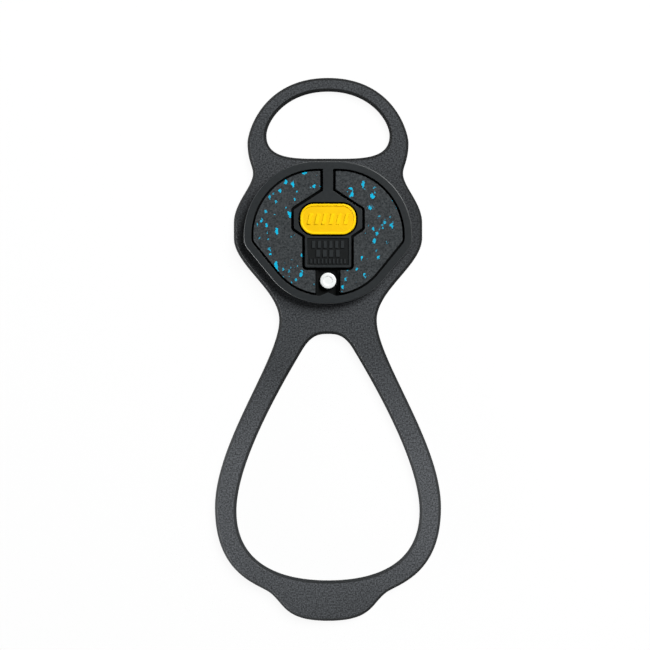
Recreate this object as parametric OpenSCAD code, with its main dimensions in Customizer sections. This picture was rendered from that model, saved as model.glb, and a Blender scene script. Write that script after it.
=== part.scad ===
// Stretch-on ice grip overshoe, lying flat with its grip face up.
// A rubber band makes a toe loop, a pod flange, a neck and a heel loop with a pull tab.
// The pod on the flange holds two ice-grip pads, a badge and a round ice indicator.
// The origin is the pod's centre on the face that lies against the shoe sole.
// +Y points to the toe, +X to the right, +Z out of the grip face.

/* [Band] */
// Thickness of the rubber band
band_t = 3; // [2.4:0.1:4]

/* [Toe loop] */
// Front edge of the toe loop, from the pod's centre
toe_reach = 62; // [58:0.5:72]
// Greatest width of the toe loop
toe_w = 64.4; // [60:0.2:72]
// Place of that greatest width, from the pod's centre
toe_w_at = 35.9; // [34:0.1:38]
// Width of the waist between the toe loop and the pod
waist_w = 60; // [56:0.2:62]
// Place of the waist, from the pod's centre
waist_at = 23.8; // [22:0.1:26]
// Band width at the front of the toe loop
toe_front_band = 5.5; // [4:0.1:8]
// Band width at the sides of the toe loop
toe_side_band = 7.6; // [5:0.1:10]
// Place of the toe opening's greatest width, from the pod's centre
toe_hole_w_at = 38.9; // [37:0.1:40]
// Rear edge of the toe opening, from the pod's centre
toe_hole_rear = 29.7; // [29.4:0.1:31]

/* [Pod flange and neck] */
// Greatest width of the flange that carries the pod
flange_w = 75.3; // [72:0.1:84]
// Front end of the flange's straight side, from the pod's centre
flange_side_front = 4; // [2:0.1:6]
// Rear end of the flange's straight side, behind the pod's centre
flange_side_rear = 2; // [1:0.1:4]
// Width of the neck behind the pod
neck_w = 39; // [34:0.5:46]
// Place of the neck, behind the pod's centre
neck_at = 34.8; // [33:0.1:37]

/* [Heel loop] */
// Greatest width of the heel loop
heel_w = 90.4; // [80:0.2:100]
// Place of that greatest width, behind the pod's centre
heel_w_at = 109.8; // [106:0.1:114]
// Band width at the sides of the heel loop
heel_side_band = 8.6; // [6:0.1:11]
// Front edge of the heel opening, behind the pod's centre
heel_hole_front = 40.4; // [39.5:0.1:43]
// Width of the heel opening where its rounded front end meets the arms
heel_hole_nose_w = 20.2; // [16:0.2:24]
// Length of that rounded front end
heel_hole_nose = 6.1; // [5:0.1:8]
// Place of the heel opening's greatest width, behind the pod's centre
heel_hole_w_at = 111.2; // [108:0.1:114]
// Rear edge of the heel opening, behind the pod's centre
heel_hole_rear = 138.9; // [134:0.1:141]
// Width of the pull tab's root
tab_w = 46.2; // [40:0.2:52]
// Place of the pull tab's root, behind the pod's centre
tab_at = 143.9; // [143:0.1:146]
// Rear edge of the pull tab, behind the pod's centre
tab_reach = 155.1; // [153:0.1:162]

/* [Flex and stretch zones] */
// Fold line of the toe loop, from the pod's centre
toe_fold_at = 35.5; // [35:0.1:37]
// Length of band that bends when the toe loop folds
toe_fold_len = 7; // [5:0.5:7]
// Length of band that stretches in the toe loop's legs
toe_stretch_len = 13; // [8:0.5:14]
// Fold line of the neck, behind the pod's centre
neck_fold_at = 34; // [33.5:0.1:34.5]
// Length of band that bends when the heel loop folds
neck_fold_len = 7; // [5:0.5:8]
// Length of the fork where the neck parts into two arms
fork_len = 13.5; // [10:0.5:18]
// Length of band that stretches in the heel loop's arms
heel_stretch_len = 49; // [40:0.5:50]
// Fold line of the heel sling, behind the pod's centre
sling_fold_at = 111.5; // [110:0.1:113]
// Length of band that bends when the heel sling folds
sling_fold_len = 15; // [10:0.5:16]

/* [Pod] */
// Width of the pod's ring
pod_w = 67; // [64:0.2:70]
// Front edge of the ring, from the pod's centre
pod_front = 28.3; // [27:0.1:29]
// Rear edge of the ring, behind the pod's centre
pod_rear = 28.3; // [27:0.1:28.8]
// Place of the ring's side corner, behind the pod's centre
pod_hip_at = 4.7; // [3:0.1:7]
// Width of the ring's flat tail, measured between its sharp corners
pod_tail_w = 28.6; // [27.4:0.2:32]
// Radius of the ring's front corners
pod_front_r = 29.4; // [24:0.1:30]
// Radius of the ring's side corners
pod_hip_r = 6.6; // [4.5:0.1:9]
// Radius of the ring's tail corners
pod_tail_r = 27.4; // [20:0.1:28]
// Height of the ring above the flange
ring_h = 4.2; // [3:0.1:6]
// Width of the ring's wall
ring_wall = 3; // [2:0.1:4]
// Thickness of the pod's floor
floor_t = 1.4; // [1:0.1:1.8]
// Depth of the spigot that locates the pod in the flange
spigot_d = 1.2; // [0.8:0.1:1.6]
// Distance from the ring's outer edge to the spigot
spigot_inset = 9; // [6:0.5:14]

/* [Grip pads] */
// Height of the pads above the ring
pad_proud = 0.4; // [0.2:0.1:1]
// Gap between the pads and the ring
pad_gap = 0.9; // [0.5:0.1:1.4]
// Gap between the pads and the island
island_gap = 1.1; // [0.6:0.1:1.6]

/* [Island] */
// Width of the stem that joins the island to the ring
stem_w = 4; // [3:0.1:6]
// Foot of the stem, from the pod's centre
stem_at = 16.6; // [15.5:0.1:18]
// Width of the frame round the badge
frame_w = 27.2; // [26:0.1:30]
// Upper corner of that frame's side, from the pod's centre
frame_top = 9.1; // [8:0.1:11]
// Lower corner of that frame's side, from the pod's centre
frame_low = 1.7; // [0.5:0.1:3]
// Width of the label plate
plate_w = 18.4; // [16:0.1:20]
// Upper edge of the label plate, behind the pod's centre
plate_top = 1.3; // [1:0.1:2.5]
// Lower edge of the label plate, behind the pod's centre
plate_low = 13.9; // [12.5:0.1:14.5]
// Radius of the island's corners
island_r = 0.8; // [0.3:0.1:1.2]
// Depth of the island's top below the ring's top
island_drop = 0; // [0:0.1:0.8]
// Width of the label plate's border
label_border = 0.9; // [0.5:0.1:1.5]
// Depth of the label plate below the island's top
plate_drop = 0.4; // [0.2:0.1:0.8]

/* [Badge] */
// Width of the badge
badge_w = 22.2; // [20:0.1:23]
// Height of the badge
badge_h = 12.2; // [10:0.1:12.6]
// Centre of the badge, from the pod's centre
badge_at = 5.3; // [5:0.1:5.8]
// Corner radius of the badge
badge_r = 5.5; // [4.5:0.1:6]
// Gap between the badge and its frame
badge_gap = 0.7; // [0.3:0.1:0.8]
// Thickness of the badge
badge_t = 2; // [1.2:0.1:2.2]
// Depth of the badge's face below its rim
badge_dish = 0.4; // [0.2:0.1:0.8]
// Width of the badge's rim
badge_rim = 0.9; // [0.6:0.1:1.5]

/* [Ice indicator] */
// Diameter of the round indicator
indicator_d = 6.4; // [5:0.1:7]
// Centre of the indicator, behind the pod's centre
indicator_at = 19.2; // [18.8:0.1:19.6]
// Depth of the indicator's top below the ring's top
indicator_drop = 0.5; // [0:0.1:1]
// Width of the slot that holds the indicator
slot_w = 10; // [9.4:0.1:11]
// Gap between the slot's walls and the pads
slot_gap = 0.3; // [0.2:0.05:0.5]
// Width of the low wall along each side of the slot
slot_wall = 0.9; // [0.6:0.1:1]
// Height of that wall above the pod's floor
slot_wall_h = 1.2; // [0.8:0.1:1.6]
// Width of the pointed stop at the slot's rear end
stop_w = 6.8; // [5:0.1:8]
// Point of that stop, behind the pod's centre
stop_at = 23.8; // [23.4:0.1:24.2]

/* [Hidden] */

// Greatest length of one facet on a curved edge, and greatest angle of one facet on a round corner
facet_len = 1;
facet_angle = 6;
// A cutting shape reaches this far past what it cuts
past = 1;
// Headings along an outline that is drawn from the toe to the heel
to_right = 0;
to_heel = -90;
to_left = -180;
along_arm = -59;
into_tab = -142;

// Levels above the shoe face
floor_top = band_t + floor_t;
ring_top = band_t + ring_h;
pad_top = ring_top + pad_proud;
island_top = ring_top - island_drop;
plate_level = island_top - plate_drop;
badge_seat = island_top - badge_t;
indicator_top = ring_top - indicator_drop;

// Lines across the band where one zone ends and the next begins
toe_flex_rear = toe_fold_at - toe_fold_len / 2;
toe_flex_front = toe_fold_at + toe_fold_len / 2;
toe_leg_front = toe_flex_front + toe_stretch_len;
neck_flex_front = -neck_fold_at + neck_fold_len / 2;
neck_flex_rear = -neck_fold_at - neck_fold_len / 2;
fork_rear = neck_flex_rear - fork_len;
arm_rear = fork_rear - heel_stretch_len;
bend_front = -sling_fold_at + sling_fold_len / 2;
bend_rear = -sling_fold_at - sling_fold_len / 2;
tab_front = -tab_at;

// Right half of each outline of the band, one station per row:
// x, y, heading, and how full the curve is before and after the station
outer_stations = [
    [0, toe_reach, to_right, 0, 0.63],
    [toe_w / 2, toe_w_at, to_heel, 0.11, 0.56],
    [waist_w / 2, waist_at, to_heel, 0.23, 0.25],
    [flange_w / 2, flange_side_front, to_heel, 0.38, 0.33],
    [flange_w / 2, -flange_side_rear, to_heel, 0.33, 0.29],
    [neck_w / 2, -neck_at, to_heel, 0.32, 0.2],
    [heel_w / 2, -heel_w_at, to_heel, 0.33, 0.67],
    [tab_w / 2, -tab_at, into_tab, 0.14, 0.29],
    [0, -tab_reach, to_left, 0.68, 0]
];
toe_hole_stations = [
    [0, toe_reach - toe_front_band, to_right, 0, 0.57],
    [toe_w / 2 - toe_side_band, toe_hole_w_at, to_heel, 0.18, 0.38],
    [0, toe_hole_rear, to_left, 0.46, 0]
];
heel_hole_stations = [
    [0, -heel_hole_front, to_right, 0, 0.26],
    [heel_hole_nose_w / 2, -heel_hole_front - heel_hole_nose, along_arm, 0.6, 0.4],
    [heel_w / 2 - heel_side_band, -heel_hole_w_at, to_heel, 0.23, 0.46],
    [0, -heel_hole_rear, to_left, 0.42, 0]
];

// Corners of the pod's ring, clockwise from the front right: x, y, corner radius
pod_corners = both_sides([
    [pod_w / 2, pod_front, pod_front_r],
    [pod_w / 2, -pod_hip_at, pod_hip_r],
    [pod_tail_w / 2, -pod_rear, pod_tail_r]
]);
// Corners of the island, from the stem down to the label plate
island_half = [
    [stem_w / 2, pod_front - ring_wall + past, 0],
    [stem_w / 2, stem_at, island_r],
    [frame_w / 2, frame_top, island_r],
    [frame_w / 2, frame_low, island_r],
    [plate_w / 2, -plate_top, island_r],
    [plate_w / 2, -plate_low, island_r]
];

function heading(a) = [cos(a), sin(a)];
function place(row) = [row.x, row.y];
function bezier(a, b, c, d, t) =
    a * pow(1 - t, 3) + 3 * b * t * pow(1 - t, 2) + 3 * c * t * t * (1 - t) + d * pow(t, 3);

// Points of a half outline through its stations, without the last one
function half_points(rows) = [
    for (i = [0 : len(rows) - 2])
        let (
            a = place(rows[i]),
            b = place(rows[i + 1]),
            reach = norm(b - a),
            leave = a + heading(rows[i][2]) * rows[i][4] * reach,
            arrive = b - heading(rows[i + 1][2]) * rows[i + 1][3] * reach,
            steps = max(3, ceil(reach / facet_len))
        )
        for (k = [0 : steps - 1]) bezier(a, leave, arrive, b, k / steps)
];
function closed_outline(rows) =
    let (half = half_points(rows), last = len(half) - 1)
    concat(half, [place(rows[len(rows) - 1])], [for (i = [last : -1 : 1]) [-half[i].x, half[i].y]]);

// A clockwise ring of corners from its right half
function both_sides(half) =
    let (last = len(half) - 1)
    concat(half, [for (i = [last : -1 : 0]) [-half[i].x, half[i].y, half[i][2]]]);

function before(list, i) = list[(i + len(list) - 1) % len(list)];
function after(list, i) = list[(i + 1) % len(list)];
function direction(a, b) = (place(b) - place(a)) / norm(place(b) - place(a));
function right_of(v) = [v.y, -v.x];
function turn_at(c, i) =
    let (u = direction(before(c, i), c[i]), v = direction(c[i], after(c, i)))
    atan2(u.x * v.y - u.y * v.x, u * v);

// Corners of a clockwise ring moved inwards, or outwards where the inset is negative
function inset_corners(c, inset) = [
    for (i = [0 : len(c) - 1])
        let (
            n = right_of(direction(before(c, i), c[i])),
            m = right_of(direction(c[i], after(c, i))),
            p = place(c[i]) + inset * (n + m) / (1 + n * m),
            r = turn_at(c, i) < 0 ? c[i][2] - inset : c[i][2] + inset
        )
        [p.x, p.y, max(0.1, r)]
];

// Points of a ring whose corners are rounded as far as its sides allow
function tangent_len(c, i) = c[i][2] * tan(abs(turn_at(c, i)) / 2);
function side_share(c, i, j) =
    norm(place(c[j]) - place(c[i])) / max(0.001, tangent_len(c, i) + tangent_len(c, j));
function rounded(c) = [
    for (i = [0 : len(c) - 1])
        let (
            n = len(c),
            share = min(1, side_share(c, i, (i + n - 1) % n), side_share(c, i, (i + 1) % n)),
            r = c[i][2] * share,
            turn = turn_at(c, i),
            u = direction(before(c, i), c[i]),
            side = turn < 0 ? right_of(u) : -right_of(u),
            start = place(c[i]) - u * tangent_len(c, i) * share,
            centre = start + side * r,
            arc = r * abs(turn) * PI / 180,
            steps = max(1, ceil(abs(turn) / facet_angle), ceil(arc / facet_len))
        )
        for (k = [0 : r > 0 ? steps : 0])
            let (a = turn * k / steps, d = -side * r)
            centre + [d.x * cos(a) - d.y * sin(a), d.x * sin(a) + d.y * cos(a)]
];

module band_profile() {
    difference() {
        polygon(closed_outline(outer_stations));
        polygon(closed_outline(toe_hole_stations));
        polygon(closed_outline(heel_hole_stations));
    }
}

// A part of the band between two lines across it: side 1 is right, -1 left, 0 both
module band_zone(rear, front, side = 0) {
    reach = heel_w;
    linear_extrude(band_t)
        intersection() {
            band_profile();
            translate([side < 0 ? -reach : side > 0 ? 0 : -reach, rear])
                square([side == 0 ? 2 * reach : reach, front - rear]);
        }
}

module raised(level, height) {
    translate([0, 0, level]) linear_extrude(height) children();
}

module pod_profile(inset) {
    polygon(rounded(inset_corners(pod_corners, inset)));
}

// The island widened by a gap; its stem runs on under the ring
module island_profile(gap) {
    polygon(rounded(inset_corners(both_sides(island_half), -gap)));
}

module label_profile() {
    half = plate_w / 2 - label_border;
    translate([-half, -plate_low + label_border])
        square([2 * half, plate_low - plate_top - 2 * label_border]);
}

module badge_profile(margin) {
    half_w = badge_w / 2 + margin;
    half_h = badge_h / 2 + margin;
    r = badge_r + margin;
    translate([0, badge_at]) polygon(rounded(both_sides([[half_w, half_h, r], [half_w, -half_h, r]])));
}

module slot_profile(half_w) {
    translate([-half_w, -pod_rear]) square([2 * half_w, pod_rear - plate_low - island_gap]);
}

// Pad on one side: side 1 is right, -1 left
module grip_pad(side) {
    reach = pod_w;
    raised(floor_top, pad_top - floor_top)
        difference() {
            intersection() {
                pod_profile(ring_wall + pad_gap);
                translate([side < 0 ? -reach : 0, -reach]) square([reach, 2 * reach]);
            }
            island_profile(island_gap);
            slot_profile(slot_w / 2);
        }
}

module pod_flange() {
    color("#3a3d3f")
        difference() {
            band_zone(neck_flex_front, toe_flex_rear);
            raised(band_t - spigot_d, spigot_d + past) pod_profile(spigot_inset);
        }
}

module slot_walls() {
    half = slot_w / 2 - slot_gap;
    raised(floor_top, slot_wall_h)
        intersection() {
            difference() {
                slot_profile(half);
                slot_profile(half - slot_wall);
            }
            pod_profile(ring_wall - past);
        }
}

module pointed_stop() {
    half = stop_w / 2;
    ring_inner = -pod_rear + ring_wall;
    raised(floor_top, ring_top - floor_top)
        polygon([[0, -stop_at], [half, ring_inner], [half, ring_inner - past],
            [-half, ring_inner - past], [-half, ring_inner]]);
}

// Floor, ring, island, slot walls and pointed stop, before the badge's pocket is cut
module shell_blank() {
    raised(band_t, floor_t) pod_profile(0);
    raised(floor_top, ring_top - floor_top)
        difference() {
            pod_profile(0);
            pod_profile(ring_wall);
        }
    raised(floor_top, island_top - floor_top)
        intersection() {
            island_profile(0);
            pod_profile(ring_wall - past);
        }
    slot_walls();
    pointed_stop();
}

module pod_shell() {
    color("#34383a") {
        raised(band_t - spigot_d, spigot_d) pod_profile(spigot_inset);
        difference() {
            shell_blank();
            raised(badge_seat, badge_t + past) badge_profile(badge_gap);
            raised(plate_level, plate_drop + past) label_profile();
        }
    }
}

module left_grip_pad() {
    color("#3b4042") grip_pad(-1);
}

module right_grip_pad() {
    color("#3b4042") grip_pad(1);
}

module badge() {
    color("#fbc705")
        difference() {
            raised(badge_seat, badge_t) badge_profile(0);
            raised(island_top - badge_dish, badge_dish + past) badge_profile(-badge_rim);
        }
}

module ice_indicator() {
    color("#f3f6f5")
        translate([0, -indicator_at, floor_top])
            cylinder(h = indicator_top - floor_top, d = indicator_d, $fn = 64);
}

module left_toe_flex() {
    color("#494a4e") band_zone(toe_flex_rear, toe_flex_front, -1);
}

module right_toe_flex() {
    color("#494a4e") band_zone(toe_flex_rear, toe_flex_front, 1);
}

module left_toe_leg() {
    color("#494a4e") band_zone(toe_flex_front, toe_leg_front, -1);
}

module right_toe_leg() {
    color("#494a4e") band_zone(toe_flex_front, toe_leg_front, 1);
}

module toe_arch() {
    color("#494a4e") band_zone(toe_leg_front, toe_reach + past);
}

module neck_flex() {
    color("#404345") band_zone(neck_flex_rear, neck_flex_front);
}

module heel_fork() {
    color("#404345") band_zone(fork_rear, neck_flex_rear);
}

module left_heel_arm() {
    color("#525457") band_zone(arm_rear, fork_rear, -1);
}

module right_heel_arm() {
    color("#525457") band_zone(arm_rear, fork_rear, 1);
}

module left_heel_side() {
    color("#525457") band_zone(bend_front, arm_rear, -1);
}

module right_heel_side() {
    color("#525457") band_zone(bend_front, arm_rear, 1);
}

module left_heel_bend() {
    color("#525457") band_zone(bend_rear, bend_front, -1);
}

module right_heel_bend() {
    color("#525457") band_zone(bend_rear, bend_front, 1);
}

module heel_sling() {
    color("#4b4c4e") band_zone(tab_front, bend_rear);
}

module pull_tab() {
    color("#4b4c4e") band_zone(-tab_reach - past, tab_front);
}

pod_flange();
pod_shell();
left_grip_pad();
right_grip_pad();
badge();
ice_indicator();
left_toe_flex();
right_toe_flex();
left_toe_leg();
right_toe_leg();
toe_arch();
neck_flex();
heel_fork();
left_heel_arm();
right_heel_arm();
left_heel_side();
right_heel_side();
left_heel_bend();
right_heel_bend();
heel_sling();
pull_tab();
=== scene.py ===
# %% [markdown]
# # A stretch-on ice grip overshoe
# A flat rubber band stretches over a shoe. It has a toe loop in front, a pod with two ice-grip pads
# under the ball of the foot, and a heel loop with a pull tab behind. It lies on a white table with its
# grip face up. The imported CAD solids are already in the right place, so most pieces start as a welded
# copy of a solid, and bmesh operators add the draft, rounding and detail of a real moulding.

# %% Load the frame and keep the CAD box
import math

import bmesh
import bpy
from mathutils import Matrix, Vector


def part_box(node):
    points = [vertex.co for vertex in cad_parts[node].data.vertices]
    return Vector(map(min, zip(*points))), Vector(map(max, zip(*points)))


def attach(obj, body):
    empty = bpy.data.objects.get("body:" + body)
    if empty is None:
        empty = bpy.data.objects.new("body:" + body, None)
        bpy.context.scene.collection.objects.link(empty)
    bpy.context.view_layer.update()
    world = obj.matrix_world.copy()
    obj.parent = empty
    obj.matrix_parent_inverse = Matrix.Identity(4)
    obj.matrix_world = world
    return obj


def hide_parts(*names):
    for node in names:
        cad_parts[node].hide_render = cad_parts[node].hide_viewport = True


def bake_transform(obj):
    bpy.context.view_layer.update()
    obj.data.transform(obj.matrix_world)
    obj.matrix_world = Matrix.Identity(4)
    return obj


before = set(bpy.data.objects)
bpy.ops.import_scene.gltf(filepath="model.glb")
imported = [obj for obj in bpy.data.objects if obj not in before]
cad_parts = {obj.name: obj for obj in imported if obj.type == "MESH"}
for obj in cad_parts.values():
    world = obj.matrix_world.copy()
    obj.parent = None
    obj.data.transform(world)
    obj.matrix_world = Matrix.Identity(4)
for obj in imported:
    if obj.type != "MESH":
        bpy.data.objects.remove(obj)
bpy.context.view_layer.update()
MM = 0.001

# %% [markdown]
# ## Camera
# The photograph looks straight down at the overshoe, and one of its pixels is 0.4 mm on the band. A long
# lens far above the table keeps the walls of the band nearly hidden, as a product photograph does.

# %% Overhead camera
PHOTO_PIXELS = 650
PIXEL = 0.4 * MM
VIEW_CENTRE = Vector((-1.2, -36.8, 0.0)) * MM
CAMERA_HEIGHT = 1.2

camera_data = bpy.data.cameras.new("overhead_camera")
camera_data.sensor_width = 36.0
camera_data.lens = camera_data.sensor_width * CAMERA_HEIGHT / (PHOTO_PIXELS * PIXEL)
camera = bpy.data.objects.new("overhead_camera", camera_data)
camera.location = VIEW_CENTRE + Vector((0.0, 0.0, CAMERA_HEIGHT))
bpy.context.collection.objects.link(camera)
bpy.context.scene.camera = camera
bpy.context.scene.view_settings.view_transform = "Standard"
print("Lens in mm:", round(camera_data.lens, 1))

# %% [markdown]
# ## Two helpers for materials
# Colours are written as sRGB hex values, as a colour picker shows them, but the shader works with linear
# light, so one function converts them. A second function adds a node, sets its properties, and fills its
# sockets with a value or with a link from an earlier node.


# %% Colour and node helpers
def linear(hex_code):
    """The linear RGBA of an sRGB hex code."""
    channels = [int(hex_code[i:i + 2], 16) / 255 for i in (1, 3, 5)]
    return [c / 12.92 if c <= 0.04045 else ((c + 0.055) / 1.055) ** 2.4 for c in channels] + [1.0]


def add_node(tree, kind, sockets=None, **settings):
    """Add a node with its settings; each socket gets a value, or a link where the value is a socket."""
    node = tree.nodes.new(kind)
    for name, value in settings.items():
        setattr(node, name, value)
    for name, value in (sockets or {}).items():
        if isinstance(value, bpy.types.NodeSocket):
            tree.links.new(value, node.inputs[name])
        else:
            node.inputs[name].default_value = value
    return node


def new_material(name):
    """An empty node material and its tree."""
    material = bpy.data.materials.new(name)
    material.use_nodes = True
    material.node_tree.nodes.clear()
    return material, material.node_tree


def new_piece(name, bm, *materials):
    """Turn a finished bmesh into an object at the origin."""
    mesh = bpy.data.meshes.new(name)
    bm.to_mesh(mesh)
    bm.free()
    for material in materials:
        mesh.materials.append(material)
    piece = bpy.data.objects.new(name, mesh)
    bpy.context.collection.objects.link(piece)
    print(name, "has", len(mesh.polygons), "faces")
    return piece


# %% [markdown]
# ## White table
# The object lies on thin white tissue over a glass table, with a white backdrop far below. Most of what a
# camera ray sees there is that backdrop, so the background is white as in the photograph, and the rest is
# lit tissue, which keeps a faint shadow of the object. The tissue thins out away from the object, so that
# no horizon shows. Light passes through it, so a loop that folds below the table is lit and seen too.

# %% Table and its tissue
PAPER_WHITE = "#fafafa"
CLEAR_SHARE = 0.92
TISSUE_EDGE = (0.2, 0.6)
TABLE_HALF = 4.0
TABLE_DROP = 0.05 * MM
FIBRE = 3 * MM

paper, tree = new_material("thin_white_tissue_on_glass")
ray = add_node(tree, "ShaderNodeLightPath")
seen = add_node(
    tree,
    "ShaderNodeMath",
    {0: ray.outputs["Is Camera Ray"], 1: ray.outputs["Is Glossy Ray"]},
    operation="MAXIMUM",
)
seen = add_node(
    tree,
    "ShaderNodeMath",
    {0: seen.outputs[0], 1: ray.outputs["Is Transmission Ray"]},
    operation="MAXIMUM",
)
place = add_node(tree, "ShaderNodeTexCoord")
away = add_node(tree, "ShaderNodeVectorMath", {0: place.outputs["Object"]}, operation="LENGTH")
thin = add_node(
    tree,
    "ShaderNodeMapRange",
    {
        "Value": away.outputs["Value"],
        "From Min": TISSUE_EDGE[0],
        "From Max": TISSUE_EDGE[1],
        "To Min": CLEAR_SHARE,
        "To Max": 1.0,
    },
    interpolation_type="SMOOTHSTEP",
)
share = add_node(tree, "ShaderNodeMath", {0: seen.outputs[0], 1: thin.outputs[0]}, operation="MULTIPLY")
share = add_node(
    tree,
    "ShaderNodeMath",
    {0: share.outputs[0], 1: ray.outputs["Is Shadow Ray"]},
    operation="MAXIMUM",
)
fibre = add_node(
    tree,
    "ShaderNodeTexNoise",
    {"Vector": place.outputs["Object"], "Scale": 1 / FIBRE, "Detail": 3.0},
)
tint = add_node(
    tree,
    "ShaderNodeMix",
    {0: fibre.outputs["Fac"], 6: linear(PAPER_WHITE), 7: linear("#ffffff")},
    data_type="RGBA",
)
lit = add_node(tree, "ShaderNodeBsdfDiffuse", {"Color": tint.outputs[2]})
clear = add_node(tree, "ShaderNodeBsdfTransparent")
mixed = add_node(
    tree,
    "ShaderNodeMixShader",
    {0: share.outputs[0], 1: lit.outputs[0], 2: clear.outputs[0]},
)
add_node(tree, "ShaderNodeOutputMaterial", {"Surface": mixed.outputs[0]})

table_bm = bmesh.new()
bmesh.ops.create_grid(table_bm, x_segments=2, y_segments=2, size=TABLE_HALF)
bmesh.ops.translate(table_bm, verts=table_bm.verts, vec=(0.0, 0.0, -TABLE_DROP))
table = new_piece("white_table", table_bm, paper)

# %% [markdown]
# ## Studio light
# The pod throws a soft shadow to the lower left, so a large softbox stands at the upper right. A dim
# room fills the shadows. A long reflector lies very low at the lower left, and lights the walls that face
# it. White then renders about as it is written, and the dark rubbers a little lighter, because their
# gloss adds to their colour. A lamp under the glass lights the shoe side. The backdrop is white to camera
# rays all round, and to glossy and transmission rays near the horizon and below.

# %% World and lamps
ROOM_LIGHT = 0.05
KEY_FROM = Vector((0.48, 0.54, 0.69)) * 1.3
KEY_SIZE = (0.75, 0.75)
KEY_WATTS = 25.0
FILL_FROM = Vector((-0.91, -0.41, 0.05)) * 1.6
FILL_SIZE = (1.7, 0.18)
FILL_WATTS = 54.0
UNDER_FROM = Vector((-0.3, 0.2, -1.0)) * 1.2
UNDER_SIZE = (0.8, 0.8)
UNDER_WATTS = 10.0
BACKDROP_TOP = 0.30

world = bpy.data.worlds.new("white_room")
world.use_nodes = True
tree = world.node_tree
tree.nodes.clear()
ray = add_node(tree, "ShaderNodeLightPath")
mirrored = add_node(
    tree,
    "ShaderNodeMath",
    {0: ray.outputs["Is Glossy Ray"], 1: ray.outputs["Is Transmission Ray"]},
    operation="MAXIMUM",
)
direction = add_node(tree, "ShaderNodeTexCoord")
height = add_node(tree, "ShaderNodeSeparateXYZ", {0: direction.outputs["Generated"]})
low = add_node(
    tree,
    "ShaderNodeMapRange",
    {"Value": height.outputs["Z"], "From Min": BACKDROP_TOP, "From Max": 0.5 * BACKDROP_TOP},
)
shown = add_node(tree, "ShaderNodeMath", {0: mirrored.outputs[0], 1: low.outputs[0]}, operation="MULTIPLY")
shown = add_node(
    tree,
    "ShaderNodeMath",
    {0: shown.outputs[0], 1: ray.outputs["Is Camera Ray"]},
    operation="MAXIMUM",
)
room = add_node(tree, "ShaderNodeBackground", {"Color": linear("#ffffff"), "Strength": ROOM_LIGHT})
backdrop = add_node(tree, "ShaderNodeBackground", {"Color": linear("#ffffff"), "Strength": 1.0})
mixed = add_node(
    tree,
    "ShaderNodeMixShader",
    {0: shown.outputs[0], 1: room.outputs[0], 2: backdrop.outputs[0]},
)
add_node(tree, "ShaderNodeOutputWorld", {"Surface": mixed.outputs[0]})
bpy.context.scene.world = world


def softbox(name, place, size, watts):
    """A soft lamp of a width and height that looks at the middle of the view."""
    lamp = bpy.data.lights.new(name, "AREA")
    lamp.shape = "RECTANGLE"
    lamp.size, lamp.size_y = size
    lamp.energy = watts
    holder = bpy.data.objects.new(name, lamp)
    holder.location = VIEW_CENTRE + place
    holder.rotation_euler = (-place).to_track_quat("-Z", "Y").to_euler()
    bpy.context.collection.objects.link(holder)


softbox("key_softbox", KEY_FROM, KEY_SIZE, KEY_WATTS)
softbox("left_reflector", FILL_FROM, FILL_SIZE, FILL_WATTS)
softbox("lamp_under_the_glass", UNDER_FROM, UNDER_SIZE, UNDER_WATTS)
print("Lamps:", KEY_WATTS, "W key,", FILL_WATTS, "W fill and", UNDER_WATTS, "W under the glass")

# %% [markdown]
# ## Band rubber
# The band is a soft thermoplastic rubber (TPE). The tool's flat faces were spark-eroded, which leaves a
# fine sandy grain: to the eye a dull dark grey with tiny light and dark specks. The real grain is near
# 0.3 mm, and it is drawn at 0.6 mm so that a pixel of 0.4 mm can show it. The heel arms are painted
# paler than the rest as painted light, and a slow noise clouds it all. The grip side of the flange is
# painted darker beside the pod, a painted shade where the pod's walls block the light, which is
# multiplied in as a tint. This tint follows the place on the band alone, so it stays put in every view.

# %% Grained rubber of the flat faces
GRAIN = 0.6 * MM
BLOOM = 22 * MM
ARM_MIDDLE = -108 * MM
PALE_FROM, PALE_TO = 62 * MM, 12 * MM
POD_MIDDLE = 4 * MM
# Painted shade beside the pod: where it is full, where it ends, and its tint.
PAINTED_POD_SHADE_FULL, PAINTED_POD_SHADE_END = 6 * MM, 30 * MM
PAINTED_POD_SHADE_TINT = "#d4d4d4"
GRIP_SIDE = (1 * MM, 2 * MM)


def arm_lightness_and_cloud_on(tree):
    """Add the band's painted light, from 0 at the pod to 1 at the heel arms, clouded by a slow noise; also
    gives the place on the band.
    """
    place = add_node(tree, "ShaderNodeTexCoord").outputs["Object"]
    bloom = add_node(tree, "ShaderNodeTexNoise", {"Vector": place, "Scale": 1 / BLOOM, "Detail": 2.0})
    clouded = add_node(
        tree,
        "ShaderNodeMapRange",
        {"Value": bloom.outputs["Fac"], "From Min": 0.3, "From Max": 0.7, "To Min": -0.12, "To Max": 0.12},
    )
    along_band = add_node(tree, "ShaderNodeSeparateXYZ", {0: place})
    from_arms = add_node(
        tree,
        "ShaderNodeMath",
        {0: along_band.outputs["Y"], 1: ARM_MIDDLE},
        operation="SUBTRACT",
    )
    distance = add_node(tree, "ShaderNodeMath", {0: from_arms.outputs[0]}, operation="ABSOLUTE")
    # Painted light: the heel arms are painted paler than the rest of the band.
    near_heel_arms = add_node(
        tree,
        "ShaderNodeMapRange",
        {"Value": distance.outputs[0], "From Min": PALE_FROM, "From Max": PALE_TO},
        interpolation_type="SMOOTHSTEP",
    )
    lightness_and_cloud_sum = add_node(
        tree,
        "ShaderNodeMath",
        {0: near_heel_arms.outputs[0], 1: clouded.outputs[0]},
        operation="ADD",
        use_clamp=True,
    )
    return lightness_and_cloud_sum.outputs[0], place


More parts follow.
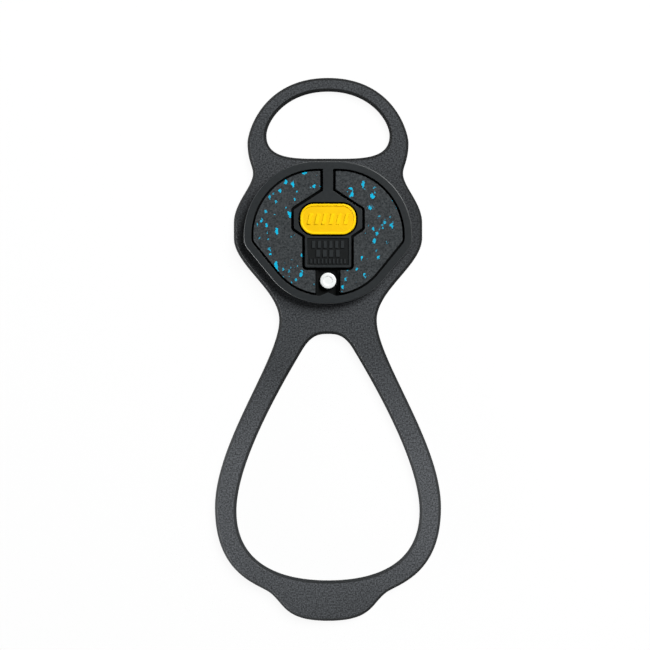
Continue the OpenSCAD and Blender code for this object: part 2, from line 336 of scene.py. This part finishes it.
band_grain, tree = new_material("tpe_rubber_spark_eroded_grain")
arm_lightness_and_cloud, place = arm_lightness_and_cloud_on(tree)
grain = add_node(
    tree,
    "ShaderNodeTexNoise",
    {"Vector": place, "Scale": 1 / GRAIN, "Detail": 4.0, "Roughness": 0.72},
)
specks = add_node(
    tree,
    "ShaderNodeMapRange",
    {"Value": grain.outputs["Fac"], "From Min": 0.40, "From Max": 0.62},
)
# Both grain colours turn paler with the painted light on the heel arms.
pit_colour = add_node(
    tree,
    "ShaderNodeMix",
    {0: arm_lightness_and_cloud, 6: linear("#1f2123"), 7: linear("#303234")},
    data_type="RGBA",
)
peak_colour = add_node(
    tree,
    "ShaderNodeMix",
    {0: arm_lightness_and_cloud, 6: linear("#505356"), 7: linear("#6a6d71")},
    data_type="RGBA",
)
grain_and_lightness_colour = add_node(
    tree,
    "ShaderNodeMix",
    {0: specks.outputs[0], 6: pit_colour.outputs[2], 7: peak_colour.outputs[2]},
    data_type="RGBA",
)
# Painted shade: the grip side of the flange is darkened beside the pod, where the pod's walls block the
# light.
spot = add_node(tree, "ShaderNodeSeparateXYZ", {0: place})
from_pod = add_node(
    tree,
    "ShaderNodeMath",
    {0: spot.outputs["Y"], 1: POD_MIDDLE},
    operation="SUBTRACT",
)
beside_pod = add_node(tree, "ShaderNodeMath", {0: from_pod.outputs[0]}, operation="ABSOLUTE")
painted_pod_shade = add_node(
    tree,
    "ShaderNodeMapRange",
    {"Value": beside_pod.outputs[0], "From Min": PAINTED_POD_SHADE_END, "From Max": PAINTED_POD_SHADE_FULL},
    interpolation_type="SMOOTHSTEP",
)
grip_side = add_node(
    tree,
    "ShaderNodeMapRange",
    {"Value": spot.outputs["Z"], "From Min": GRIP_SIDE[0], "From Max": GRIP_SIDE[1]},
)
painted_pod_shade_share = add_node(
    tree,
    "ShaderNodeMath",
    {0: painted_pod_shade.outputs[0], 1: grip_side.outputs[0]},
    operation="MULTIPLY",
)
# The painted shade is multiplied into the band's colour.
band_colour = add_node(
    tree,
    "ShaderNodeMix",
    {0: painted_pod_shade_share.outputs[0], 6: grain_and_lightness_colour.outputs[2], 7: linear(PAINTED_POD_SHADE_TINT)},
    data_type="RGBA",
    blend_type="MULTIPLY",
)
rough = add_node(
    tree,
    "ShaderNodeMapRange",
    {"Value": grain.outputs["Fac"], "To Min": 0.70, "To Max": 0.90},
)
pits = add_node(
    tree,
    "ShaderNodeBump",
    {"Height": grain.outputs["Fac"], "Strength": 0.55, "Distance": 0.12 * MM},
)
rubber = add_node(
    tree,
    "ShaderNodeBsdfPrincipled",
    {
        "Base Color": band_colour.outputs[2],
        "Roughness": rough.outputs[0],
        "Normal": pits.outputs[0],
        "IOR": 1.5,
        "Specular IOR Level": 0.2,
    },
)
add_node(tree, "ShaderNodeOutputMaterial", {"Surface": rubber.outputs[0]})
print("Made", band_grain.name)

# %% [markdown]
# The walls of the band came off the smooth, upright part of the tool, so they have no grain. Their colour
# is painted much darker than the faces, a painted shade for the steep walls, with only faint flow marks
# along the edge, and it is painted paler at the heel as the faces are. The rounded arris between wall
# and face is rubbed shiny by use. It has the wall's painted dark colour, but the low reflector draws a
# thin light line on it. One recipe in a loop makes both finishes.

# %% Smooth rubber of the drafted walls and of the arris, with painted shade
FLOW_MARK = 2.5 * MM

smooth_rubbers = []
for name, specular, smooth, dull in (
    ("tpe_rubber_smooth_wall_painted_shade", 0.04, 0.48, 0.66),
    ("tpe_rubber_rubbed_arris_painted_shade", 0.40, 0.28, 0.40),
):
    finish, tree = new_material(name)
    arm_lightness_and_cloud, place = arm_lightness_and_cloud_on(tree)
    flow = add_node(tree, "ShaderNodeTexNoise", {"Vector": place, "Scale": 1 / FLOW_MARK, "Detail": 3.0})
    # Painted shade: the wall colours are much darker than the faces' colours.
    dull_colour = add_node(
        tree,
        "ShaderNodeMix",
        {0: arm_lightness_and_cloud, 6: linear("#101213"), 7: linear("#242627")},
        data_type="RGBA",
    )
    clean_colour = add_node(
        tree,
        "ShaderNodeMix",
        {0: arm_lightness_and_cloud, 6: linear("#191b1c"), 7: linear("#333537")},
        data_type="RGBA",
    )
    smooth_colour = add_node(
        tree,
        "ShaderNodeMix",
        {0: flow.outputs["Fac"], 6: dull_colour.outputs[2], 7: clean_colour.outputs[2]},
        data_type="RGBA",
    )
    rough = add_node(
        tree,
        "ShaderNodeMapRange",
        {"Value": flow.outputs["Fac"], "To Min": smooth, "To Max": dull},
    )
    ripple = add_node(
        tree,
        "ShaderNodeBump",
        {"Height": flow.outputs["Fac"], "Strength": 0.15, "Distance": 0.1 * MM},
    )
    rubber = add_node(
        tree,
        "ShaderNodeBsdfPrincipled",
        {
            "Base Color": smooth_colour.outputs[2],
            "Roughness": rough.outputs[0],
            "Normal": ripple.outputs[0],
            "IOR": 1.5,
            "Specular IOR Level": specular,
        },
    )
    add_node(tree, "ShaderNodeOutputMaterial", {"Surface": rubber.outputs[0]})
    smooth_rubbers.append(finish)
    print("Made", finish.name)

# %% [markdown]
# ## The band as one moulding
# In the CAD model the band is cut into zones, because a rigid solid can't bend or stretch. On the real
# object it is one moulding, so the zones are joined again here. Each solid's mesh is loose triangles: a
# copy is welded, its flat triangles are dissolved into whole faces, and the faces where two zones meet
# are left out, so that welding closes the band into one skin.

# %% Join the band's zones into one skin
WELD = 0.005 * MM
FLAT_ANGLE = math.radians(0.2)
SQUARE_END = 0.9999
BAND_NODES = (
    "pod_flange", "left_toe_flex", "right_toe_flex", "left_toe_leg", "right_toe_leg", "toe_arch",
    "neck_flex", "heel_fork", "left_heel_arm", "right_heel_arm", "left_heel_side",
    "right_heel_side", "left_heel_bend", "right_heel_bend", "heel_sling", "pull_tab",
)


def everything(bm):
    """All of a bmesh's geometry, for an operator that takes a list."""
    return bm.verts[:] + bm.edges[:] + bm.faces[:]


def welded_copy(node, in_halves=False):
    """A welded copy of a CAD solid, with its flat triangles joined.

    A face can't have a hole in it, so a solid with ring-shaped faces is first cut in halves by a seam."""
    bm = bmesh.new()
    bm.from_mesh(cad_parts[node].data)
    bmesh.ops.remove_doubles(bm, verts=bm.verts, dist=WELD)
    if in_halves:
        cut = bmesh.ops.bisect_plane(
            bm, geom=everything(bm), dist=WELD, plane_co=(0.0, 0.0, 0.0), plane_no=(1.0, 0.0, 0.0)
        )["geom_cut"]
        for item in cut:
            if isinstance(item, bmesh.types.BMEdge):
                item.seam = True
    bmesh.ops.dissolve_limit(
        bm, angle_limit=FLAT_ANGLE, verts=bm.verts, edges=bm.edges, delimit={"SEAM"}
    )
    return bm


def corner_y(node, high):
    """The front or rear line of a zone."""
    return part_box(node)[1 if high else 0].y


BAND_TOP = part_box("toe_arch")[1].z
ZONE_LINES = {
    "toe_flex_rear": corner_y("left_toe_flex", False),
    "toe_flex_front": corner_y("left_toe_flex", True),
    "toe_leg_front": corner_y("left_toe_leg", True),
    "neck_flex_front": corner_y("neck_flex", True),
    "neck_flex_rear": corner_y("neck_flex", False),
    "fork_rear": corner_y("heel_fork", False),
    "arm_rear": corner_y("left_heel_arm", False),
    "bend_front": corner_y("left_heel_bend", True),
    "bend_rear": corner_y("left_heel_bend", False),
    "tab_front": corner_y("pull_tab", True),
}


def is_zone_end(face):
    """True for a face that only parts one zone from the next."""
    y = face.calc_center_median().y
    return abs(face.normal.y) > SQUARE_END and any(abs(y - line) < WELD for line in ZONE_LINES.values())


def is_pocket(face):
    """True for a face of the pocket that the pod's spigot fills."""
    heights = [v.co.z for v in face.verts]
    return min(heights) > WELD and min(heights) < BAND_TOP - WELD


band = bmesh.new()
for node in BAND_NODES:
    zone = welded_copy(node)
    if node == "pod_flange":
        bmesh.ops.delete(zone, geom=[f for f in zone.faces if is_pocket(f)], context="FACES")
        bmesh.ops.holes_fill(zone, edges=[e for e in zone.edges if e.is_boundary], sides=0)
        bmesh.ops.dissolve_limit(zone, angle_limit=FLAT_ANGLE, verts=zone.verts, edges=zone.edges)
    bmesh.ops.delete(zone, geom=[f for f in zone.faces if is_zone_end(f)], context="FACES_ONLY")
    zone_mesh = bpy.data.meshes.new("zone")
    zone.to_mesh(zone_mesh)
    zone.free()
    band.from_mesh(zone_mesh)
    bpy.data.meshes.remove(zone_mesh)
bmesh.ops.remove_doubles(band, verts=band.verts, dist=WELD)
open_edges = [e for e in band.edges if not e.is_manifold]
print("Band skin:", len(band.faces), "faces,", len(open_edges), "open edges")

# %% [markdown]
# A moulded wall leans a little so that the part leaves the tool: that is draft. In the photograph it
# shows as a smooth dark border about 1 mm wide round every edge. The top is inset by that much, and the
# old edge is pushed down, which leans the wall. Then the three edge lines are bevelled round.

# %% Draft and round the band's edges
DRAFT_IN = 1.1 * MM
DRAFT_DROP = 2.3 * MM
ARRIS_ROUND = 0.45 * MM
FOOT_ROUND = 0.25 * MM
SHOE_EDGE_ROUND = 0.4 * MM
SHARP = math.radians(15)
FACES_UP = 0.99
UPRIGHT = 0.5


def edges_at(bm, level):
    """The sharp edges that run level at a height."""
    return [
        e for e in bm.edges
        if all(abs(v.co.z - level) < WELD for v in e.verts)
        and len(e.link_faces) == 2
        and e.calc_face_angle() > SHARP
    ]


def round_edges(bm, edges, radius, segments):
    """Bevel edges to a round."""
    bmesh.ops.bevel(
        bm,
        geom=edges,
        offset=radius,
        offset_type="OFFSET",
        affect="EDGES",
        segments=segments,
        profile=0.5,
        material=-1,
        clamp_overlap=True,
    )


top_faces = [f for f in band.faces if f.normal.z > FACES_UP]
rim = bmesh.ops.inset_region(
    band,
    faces=top_faces,
    thickness=DRAFT_IN,
    use_boundary=True,
    use_even_offset=True,
)["faces"]
rim_corners = [v for v in band.verts if any(f in rim for f in v.link_faces)]
wall_tops = [v for v in rim_corners if any(abs(f.normal.z) < UPRIGHT for f in v.link_faces)]
bmesh.ops.translate(band, verts=wall_tops, vec=(0.0, 0.0, -DRAFT_DROP))
band.normal_update()
round_edges(band, edges_at(band, BAND_TOP), ARRIS_ROUND, segments=3)
round_edges(band, edges_at(band, BAND_TOP - DRAFT_DROP), FOOT_ROUND, segments=2)
round_edges(band, edges_at(band, 0.0), SHOE_EDGE_ROUND, segments=3)
band.normal_update()
print("Drafted band:", len(band.faces), "faces")

# %% [markdown]
# ## Bending and stretching
# The band folds at the toe, the neck and the sling, and stretches in the toe legs and heel arms. A mesh
# only bends where it has edges to bend along, so planes cut the skin across in each of those zones.
# Then the skin is cut into five pieces, one for each joint, and each cut end is closed.

# %% Cut the band across its soft zones
SOFT_ZONES = (
    ("toe_flex_rear", "toe_flex_front", 10),
    ("toe_flex_front", "toe_leg_front", 8),
    ("neck_flex_rear", "neck_flex_front", 10),
    ("arm_rear", "fork_rear", 20),
    ("bend_rear", "bend_front", 15),
)
ACROSS = (0.0, 1.0, 0.0)

for rear, front, steps in SOFT_ZONES:
    start = ZONE_LINES[rear]
    length = ZONE_LINES[front] - start
    for step in range(1, steps):
        point = (0.0, start + length * step / steps, 0.0)
        bmesh.ops.bisect_plane(band, geom=everything(band), plane_co=point, plane_no=ACROSS)
print("Band with bend lines:", len(band.faces), "faces")

# %% Part the band into one piece per joint
TOP_FACING, ARRIS_FACING = 0.93, 0.55


def keep_flat_faces_flat(piece):
    """Let the large faces set the shading, so that a rounded edge doesn't bend their light."""
    piece.modifiers.new("flat_faces_stay_flat", "WEIGHTED_NORMAL").keep_sharp = True


def band_piece(name, rear=None, front=None):
    """The part of the band between two lines, closed at its cut ends."""
    part = band.copy()
    for line, keep_front in ((rear, True), (front, False)):
        if line is None:
            continue
        cut = bmesh.ops.bisect_plane(
            part,
            geom=everything(part),
            dist=WELD,
            plane_co=(0.0, line, 0.0),
            plane_no=ACROSS,
            clear_inner=keep_front,
            clear_outer=not keep_front,
        )["geom_cut"]
        cut_edges = [g for g in cut if isinstance(g, bmesh.types.BMEdge)]
        bmesh.ops.holes_fill(part, edges=cut_edges, sides=0)
        for edge in cut_edges:
            edge.smooth = False
    part.normal_update()
    for face in part.faces:
        face.smooth = True
        # Steep faces get the wall and arris finishes, whose dark colour is painted shade.
        if abs(face.normal.z) < TOP_FACING:
            face.material_index = 2 if face.normal.z > ARRIS_FACING else 1
    piece = new_piece(name, part, band_grain, *smooth_rubbers)
    keep_flat_faces_flat(piece)
    return piece


flange_piece = band_piece("flange_and_neck", ZONE_LINES["fork_rear"], ZONE_LINES["toe_flex_rear"])
toe_strips = band_piece("toe_fold_strips", ZONE_LINES["toe_flex_rear"], ZONE_LINES["toe_flex_front"])
toe_loop = band_piece("toe_loop", ZONE_LINES["toe_flex_front"], None)
heel_arms = band_piece("heel_arms", ZONE_LINES["arm_rear"], ZONE_LINES["fork_rear"])
sling_piece = band_piece("sling_and_tab", None, ZONE_LINES["arm_rear"])
band.free()


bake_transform(flange_piece)
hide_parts("pod_flange", "neck_flex", "heel_fork")
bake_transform(toe_strips)
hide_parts("left_toe_flex", "right_toe_flex")
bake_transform(toe_loop)
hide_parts("left_toe_leg", "right_toe_leg", "toe_arch")
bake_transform(heel_arms)
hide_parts("left_heel_arm", "right_heel_arm")
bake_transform(sling_piece)
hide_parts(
    "left_heel_side", "right_heel_side", "left_heel_bend", "right_heel_bend", "heel_sling", "pull_tab",
)

# %% [markdown]
# ## Pod rubber
# The pod is a harder black rubber with a smooth satin face. To the eye it is a little darker and
# greener than the band, with soft light lines along its rounded edges.

# %% Satin rubber of the pod
SATIN = 1.2 * MM

pod_rubber, tree = new_material("moulded_satin_pod_rubber")
place = add_node(tree, "ShaderNodeTexCoord")
satin = add_node(
    tree,
    "ShaderNodeTexNoise",
    {"Vector": place.outputs["Object"], "Scale": 1 / SATIN, "Detail": 4.0, "Roughness": 0.6},
)
pod_colour = add_node(
    tree,
    "ShaderNodeMix",
    {0: satin.outputs["Fac"], 6: linear("#1d2123"), 7: linear("#25292b")},
    data_type="RGBA",
)
rough = add_node(
    tree,
    "ShaderNodeMapRange",
    {"Value": satin.outputs["Fac"], "To Min": 0.32, "To Max": 0.44},
)
skin = add_node(
    tree,
    "ShaderNodeBump",
    {"Height": satin.outputs["Fac"], "Strength": 0.12, "Distance": 0.06 * MM},
)
rubber = add_node(
    tree,
    "ShaderNodeBsdfPrincipled",
    {
        "Base Color": pod_colour.outputs[2],
        "Roughness": rough.outputs[0],
        "Normal": skin.outputs[0],
        "IOR": 1.5,
        "Specular IOR Level": 0.45,
    },
)
add_node(tree, "ShaderNodeOutputMaterial", {"Surface": rubber.outputs[0]})
print("Made", pod_rubber.name)

# %% [markdown]
# The channels round the pads and the island, and the field of the sunk plate, were spark-eroded deeper in
# the tool and came out matt. The channels are painted nearly black, a painted shade down in the deep,
# narrow gaps. The plate's field is a darker matt finish. One recipe in a loop makes both finishes.

# %% Matt rubber of the channels, with painted shade, and of the plate
PITS = 0.5 * MM

matt_rubbers = []
for name, dark, light in (
    # The channel colour is painted nearly black, a painted shade.
    ("moulded_matt_channel_rubber_painted_shade", "#0b0c0c", "#181a1a"),
    ("moulded_matt_plate_rubber", "#171919", "#232526"),
):
    matt, tree = new_material(name)
    place = add_node(tree, "ShaderNodeTexCoord")
    pitting = add_node(
        tree,
        "ShaderNodeTexNoise",
        {"Vector": place.outputs["Object"], "Scale": 1 / PITS, "Detail": 3.0},
    )
    matt_colour = add_node(
        tree,
        "ShaderNodeMix",
        {0: pitting.outputs["Fac"], 6: linear(dark), 7: linear(light)},
        data_type="RGBA",
    )
    rough = add_node(
        tree,
        "ShaderNodeMapRange",
        {"Value": pitting.outputs["Fac"], "To Min": 0.8, "To Max": 0.95},
    )
    pits = add_node(
        tree,
        "ShaderNodeBump",
        {"Height": pitting.outputs["Fac"], "Strength": 0.4, "Distance": 0.1 * MM},
    )
    rubber = add_node(
        tree,
        "ShaderNodeBsdfPrincipled",
        {
            "Base Color": matt_colour.outputs[2],
            "Roughness": rough.outputs[0],
            "Normal": pits.outputs[0],
            "IOR": 1.5,
            "Specular IOR Level": 0.08,
        },
    )
    add_node(tree, "ShaderNodeOutputMaterial", {"Surface": rubber.outputs[0]})
    matt_rubbers.append(matt)
    print("Made", matt.name)

# %% [markdown]
# ## Pod shell
# The shell is a ring with an island in the middle, joined to it by a stem. Its copy is welded, the
# ring's outer edge gets a wide round, and all the other top edges get a small one. The foot of the ring is
# rounded under, which leaves the thin dark line where the pod meets the band.

# %% Round the pod shell
RING_ROUND = 0.45 * MM
TOP_ROUND = 0.22 * MM
FOOT_SEAM = 0.25 * MM
RING_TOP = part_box("pod_shell")[1].z
PLATE_SLOPE = 0.15 * MM
RIB_HEIGHT = 0.36 * MM
RIB_SLACK = 0.1
FACES_DOWN = -0.9
CRISP = math.radians(40)
PLATE_DROP = 0.4 * MM
PLATE_LEVEL = RING_TOP - PLATE_DROP
PLATE_ROWS = (
    (-6.3 * MM, -3.2 * MM, 6, 2.3 * MM, 1.5 * MM),
    (-9.8 * MM, -6.8 * MM, 4, 2.6 * MM, 1.8 * MM),
    (-12.5 * MM, -10.4 * MM, 10, 1.5 * MM, 0.9 * MM),
)


def lowest_of(face):
    """The height of a face's lowest corner."""
    return min(v.co.z for v in face.verts)


def cut_faces(bm, faces, point, normal):
    """Cut some faces along a plane, and return all their parts."""
    corners = list(dict.fromkeys(v for f in faces for v in f.verts))
    sides = list(dict.fromkeys(e for f in faces for e in f.edges))
    parts = bmesh.ops.bisect_plane(
        bm, geom=corners + sides + faces, dist=WELD, plane_co=point, plane_no=normal
    )["geom"]
    return [g for g in parts if isinstance(g, bmesh.types.BMFace)]


def raise_ribs(bm, level, rows, slope, lean=0.0):
    """Raise rows of ribs on the flat face at a level.

    A row is its low and high y, and the count, pitch and width of its ribs."""
    for low, high, count, pitch, width in rows:
        middle = Vector((0.0, (low + high) / 2, level))
        field = [
            f for f in bm.faces
            if f.normal.z > FACES_UP and abs(f.calc_center_median().z - level) < WELD
        ]
        for y in (low, high):
            field = cut_faces(bm, field, (0.0, y, level), ACROSS)
        row = [f for f in field if low < f.calc_center_median().y < high]
        along = Vector((math.cos(lean), -math.sin(lean), 0.0))
        starts = [(k - (count - 1) / 2) * pitch for k in range(count)]
        for start in starts:
            for side in (-0.5, 0.5):
                row = cut_faces(bm, row, middle + along * (start + side * width), along)
        slack = RIB_SLACK * width
        ribs = [
            f for f in row
            if any(abs((f.calc_center_median() - middle).dot(along) - x) < slack for x in starts)
        ]
        bmesh.ops.inset_individual(
            bm, faces=ribs, thickness=slope, depth=RIB_HEIGHT, use_even_offset=True
        )
        for rib in ribs:
            rib.material_index = 0


def finish_moulding(bm, name, *materials):
    """Smooth shading with crisp edges where two faces meet steeply."""
    for face in bm.faces:
        face.smooth = True
    for edge in bm.edges:
        edge.smooth = edge.calc_face_angle() < CRISP
    piece = new_piece(name, bm, *materials)
    keep_flat_faces_flat(piece)
    return piece


shell = welded_copy("pod_shell", in_halves=True)
channel_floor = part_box("left_grip_pad")[0].z
# Faces down in the channels get the nearly black colour of painted shade.
for face in shell.faces:
    if channel_floor - WELD < lowest_of(face) < PLATE_LEVEL - WELD:
        face.material_index = 1
    if face.normal.z > FACES_UP and abs(lowest_of(face) - PLATE_LEVEL) < WELD:
        face.material_index = 2
top_edges = edges_at(shell, RING_TOP)
outer_edges = [e for e in top_edges if any(abs(lowest_of(f) - BAND_TOP) < WELD for f in e.link_faces)]
round_edges(shell, outer_edges, RING_ROUND, segments=5)
round_edges(shell, edges_at(shell, RING_TOP), TOP_ROUND, segments=2)
foot_edges = [
    e for e in edges_at(shell, BAND_TOP)
    if any(f.normal.z < FACES_DOWN for f in e.link_faces) and e.calc_face_angle_signed() > 0
]
round_edges(shell, foot_edges, FOOT_SEAM, segments=2)
raise_ribs(shell, PLATE_LEVEL, PLATE_ROWS, PLATE_SLOPE)
pod_shell = finish_moulding(shell, "pod_ring_shell", pod_rubber, *matt_rubbers)
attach(pod_shell, "pod")
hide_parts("pod_shell")

# %% [markdown]
# ## Grip compound
# The pads are a dark rubber filled with hard cyan chips, for grip. Chips of a broken material are
# angular, and so are the cells of a Voronoi texture: a few cells in a hundred are picked by their random
# colour and painted cyan. Three cell sizes give large chips, small chips and dust, a fine noise tears
# their outlines, and a slow one makes them crowd in some places and thin out in others. The mottling of
# the dark rubber is drawn at 0.66 mm, about as fine as a pixel of 0.4 mm can show.

# %% Dark compound with cyan chips
CHIP_SIZES = ((1.3 * MM, 0.011, 1.0), (0.8 * MM, 0.011, 1.0), (0.5 * MM, 0.003, 0.6))
RAGGED = 0.7 * MM
PORES = 0.66 * MM
CROWDING = 5 * MM
FIRST_TURN, NEXT_TURN = 0.7, 1.1
CHIP_STRETCH = (1.0, 0.62, 1.0)
PALEST_CHIP = 0.75

grip_compound, tree = new_material("ice_grip_rubber_with_cyan_chips")
place = add_node(tree, "ShaderNodeTexCoord")
matrix_noise = add_node(
    tree,
    "ShaderNodeTexNoise",
    {"Vector": place.outputs["Object"], "Scale": 1 / PORES, "Detail": 5.0, "Roughness": 0.7},
)
mottling = add_node(
    tree,
    "ShaderNodeMapRange",
    {"Value": matrix_noise.outputs["Fac"], "From Min": 0.35, "From Max": 0.65},
)
colour = add_node(
    tree,
    "ShaderNodeMix",
    {0: mottling.outputs[0], 6: linear("#212426"), 7: linear("#484c4e")},
    data_type="RGBA",
).outputs[2]
crowd = add_node(
    tree,
    "ShaderNodeTexNoise",
    {"Vector": place.outputs["Object"], "Scale": 1 / CROWDING, "Detail": 1.0},
)
crowd_amount = add_node(
    tree,
    "ShaderNodeMapRange",
    {"Value": crowd.outputs["Fac"], "From Min": 0.38, "From Max": 0.66, "To Min": 0.15, "To Max": 3.0},
)
tear = add_node(
    tree,
    "ShaderNodeTexNoise",
    {"Vector": place.outputs["Object"], "Scale": 1 / RAGGED, "Detail": 2.0},
)
torn = add_node(
    tree,
    "ShaderNodeVectorMath",
    {0: tear.outputs["Color"], 1: (2 * RAGGED,) * 3, 2: place.outputs["Object"]},
    operation="MULTIPLY_ADD",
)
for turn, (size, chance, strength) in enumerate(CHIP_SIZES):
    turned = add_node(
        tree,
        "ShaderNodeMapping",
        {
            "Vector": torn.outputs[0],
            "Rotation": (0.0, 0.0, FIRST_TURN + NEXT_TURN * turn),
            "Scale": CHIP_STRETCH,
        },
    )
    cells = add_node(tree, "ShaderNodeTexVoronoi", {"Vector": turned.outputs[0], "Scale": 1 / size})
    dice = add_node(tree, "ShaderNodeSeparateColor", {0: cells.outputs["Color"]})
    limit = add_node(tree, "ShaderNodeMath", {0: crowd_amount.outputs[0], 1: chance}, operation="MULTIPLY")
    picked = add_node(
        tree,
        "ShaderNodeMath",
        {0: dice.outputs[0], 1: limit.outputs[0]},
        operation="LESS_THAN",
    )
    depth = add_node(
        tree,
        "ShaderNodeMapRange",
        {"Value": dice.outputs[1], "To Min": strength * PALEST_CHIP, "To Max": strength},
    )
    cover = add_node(
        tree,
        "ShaderNodeMath",
        {0: picked.outputs[0], 1: depth.outputs[0]},
        operation="MULTIPLY",
    )
    colour = add_node(
        tree,
        "ShaderNodeMix",
        {0: cover.outputs[0], 6: colour, 7: linear("#00b9e2")},
        data_type="RGBA",
    ).outputs[2]
pores = add_node(
    tree,
    "ShaderNodeBump",
    {"Height": matrix_noise.outputs["Fac"], "Strength": 0.4, "Distance": 0.1 * MM},
)
rough = add_node(
    tree,
    "ShaderNodeMapRange",
    {"Value": matrix_noise.outputs["Fac"], "To Min": 0.72, "To Max": 0.92},
)
rubber = add_node(
    tree,
    "ShaderNodeBsdfPrincipled",
    {
        "Base Color": colour,
        "Roughness": rough.outputs[0],
        "Normal": pores.outputs[0],
        "IOR": 1.5,
        "Specular IOR Level": 0.12,
    },
)
add_node(tree, "ShaderNodeOutputMaterial", {"Surface": rubber.outputs[0]})
print("Made", grip_compound.name)

# %% [markdown]
# ## Grip pads
# Each pad is a flat slab that fills one half of the pod. Its upright corners are rounded a little, and so
# is the edge of its top face, which stands just proud of the ring.

# %% Round the two pads
PAD_CORNER = 0.35 * MM
PAD_ROUND = 0.28 * MM
PAD_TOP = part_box("left_grip_pad")[1].z
UPRIGHT_LENGTH = 1 * MM
CORNER_ANGLE = math.radians(25)


def upright_corners(bm):
    """The sharp upright edges of a slab."""
    return [
        e for e in bm.edges
        if abs(e.verts[0].co.z - e.verts[1].co.z) > UPRIGHT_LENGTH and e.calc_face_angle() > CORNER_ANGLE
    ]


for side in ("left", "right"):
    node = side + "_grip_pad"
    pad = welded_copy(node)
    round_edges(pad, upright_corners(pad), PAD_CORNER, segments=3)
    round_edges(pad, edges_at(pad, PAD_TOP), PAD_ROUND, segments=3)
    pad_piece = finish_moulding(pad, side + "_pad_slab", grip_compound)
    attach(pad_piece, "pod")
    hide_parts(node)

# %% [markdown]
# ## Badge
# The badge is a small plate of yellow polyurethane with a raised rim. Its field is plain, with a row of
# slanted grip ribs: planes cut the field into cells, and every other cell is raised by an inset. The rim
# and the ribs are satin. The field between them was left matt in the tool, and its colour is painted a
# deeper yellow, a painted shade in the dish round the ribs.

# %% Satin yellow polyurethane, and matt yellow with painted shade
CLOUD = 4 * MM

yellows = []
for name, dark, light, smooth, dull in (
    ("moulded_satin_yellow_polyurethane", "#f4c400", "#fdd700", 0.38, 0.52),
    ("moulded_matt_yellow_polyurethane_painted_shade", "#f0bc00", "#f9cc00", 0.62, 0.80),
):
    yellow, tree = new_material(name)
    place = add_node(tree, "ShaderNodeTexCoord")
    cloud = add_node(
        tree,
        "ShaderNodeTexNoise",
        {"Vector": place.outputs["Object"], "Scale": 1 / CLOUD, "Detail": 4.0},
    )
    tone = add_node(
        tree,
        "ShaderNodeMix",
        {0: cloud.outputs["Fac"], 6: linear(dark), 7: linear(light)},
        data_type="RGBA",
    )
    rough = add_node(
        tree,
        "ShaderNodeMapRange",
        {"Value": cloud.outputs["Fac"], "To Min": smooth, "To Max": dull},
    )
    skin = add_node(
        tree,
        "ShaderNodeBump",
        {"Height": cloud.outputs["Fac"], "Strength": 0.06, "Distance": 0.03 * MM},
    )
    plastic = add_node(
        tree,
        "ShaderNodeBsdfPrincipled",
        {
            "Base Color": tone.outputs[2],
            "Roughness": rough.outputs[0],
            "Normal": skin.outputs[0],
            "IOR": 1.5,
            "Specular IOR Level": 0.15,
        },
    )
    add_node(tree, "ShaderNodeOutputMaterial", {"Surface": plastic.outputs[0]})
    yellows.append(yellow)
    print("Made", yellow.name)

# %% Badge plate with its ribs
BADGE_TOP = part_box("badge")[1].z
BADGE_ROUND = 0.3 * MM
BADGE_DISH = 0.4 * MM
BADGE_SLOPE = 0.25 * MM
BADGE_LEAN = math.radians(14)
BADGE_FIELD = BADGE_TOP - BADGE_DISH
BADGE_ROWS = ((3.1 * MM, 7.5 * MM, 6, 2.8 * MM, 1.6 * MM),)

badge = welded_copy("badge", in_halves=True)
# The dished field gets the deeper yellow of painted shade.
for face in badge.faces:
    if face.normal.z > FACES_UP and abs(lowest_of(face) - BADGE_FIELD) < WELD:
        face.material_index = 1
round_edges(badge, edges_at(badge, BADGE_TOP), BADGE_ROUND, segments=3)
raise_ribs(badge, BADGE_FIELD, BADGE_ROWS, BADGE_SLOPE, BADGE_LEAN)
badge_piece = finish_moulding(badge, "badge_plate", *yellows)
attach(badge_piece, "pod")
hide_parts("badge")

# %% [markdown]
# ## Ice indicator
# A white plastic button sits in the slot behind the island. Its rim is rounded and its middle is
# slightly dished, so that it reads as a moulded part and not as a plain disc.

# %% White plastic
MILKY = 1.5 * MM

indicator_white, tree = new_material("moulded_white_indicator_plastic")
place = add_node(tree, "ShaderNodeTexCoord")
cloud = add_node(
    tree,
    "ShaderNodeTexNoise",
    {"Vector": place.outputs["Object"], "Scale": 1 / MILKY, "Detail": 3.0},
)
white = add_node(
    tree,
    "ShaderNodeMix",
    {0: cloud.outputs["Fac"], 6: linear("#e9edec"), 7: linear("#f7f9f8")},
    data_type="RGBA",
)
rough = add_node(
    tree,
    "ShaderNodeMapRange",
    {"Value": cloud.outputs["Fac"], "To Min": 0.42, "To Max": 0.55},
)
plastic = add_node(
    tree,
    "ShaderNodeBsdfPrincipled",
    {"Base Color": white.outputs[2], "Roughness": rough.outputs[0], "IOR": 1.46},
)
add_node(tree, "ShaderNodeOutputMaterial", {"Surface": plastic.outputs[0]})
print("Made", indicator_white.name)

# %% Indicator button
BUTTON_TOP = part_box("ice_indicator")[1].z
BUTTON_ROUND = 0.4 * MM
BUTTON_RIM = 0.9 * MM
BUTTON_DISH = 0.2 * MM

button = welded_copy("ice_indicator")
round_edges(button, edges_at(button, BUTTON_TOP), BUTTON_ROUND, segments=4)
cap = [f for f in button.faces if f.normal.z > FACES_UP]
bmesh.ops.inset_region(button, faces=cap, thickness=BUTTON_RIM, use_even_offset=True)
bmesh.ops.inset_region(button, faces=cap, thickness=BUTTON_DISH, depth=-BUTTON_DISH, use_even_offset=True)
button_piece = finish_moulding(button, "indicator_button", indicator_white)
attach(button_piece, "pod")
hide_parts("ice_indicator")
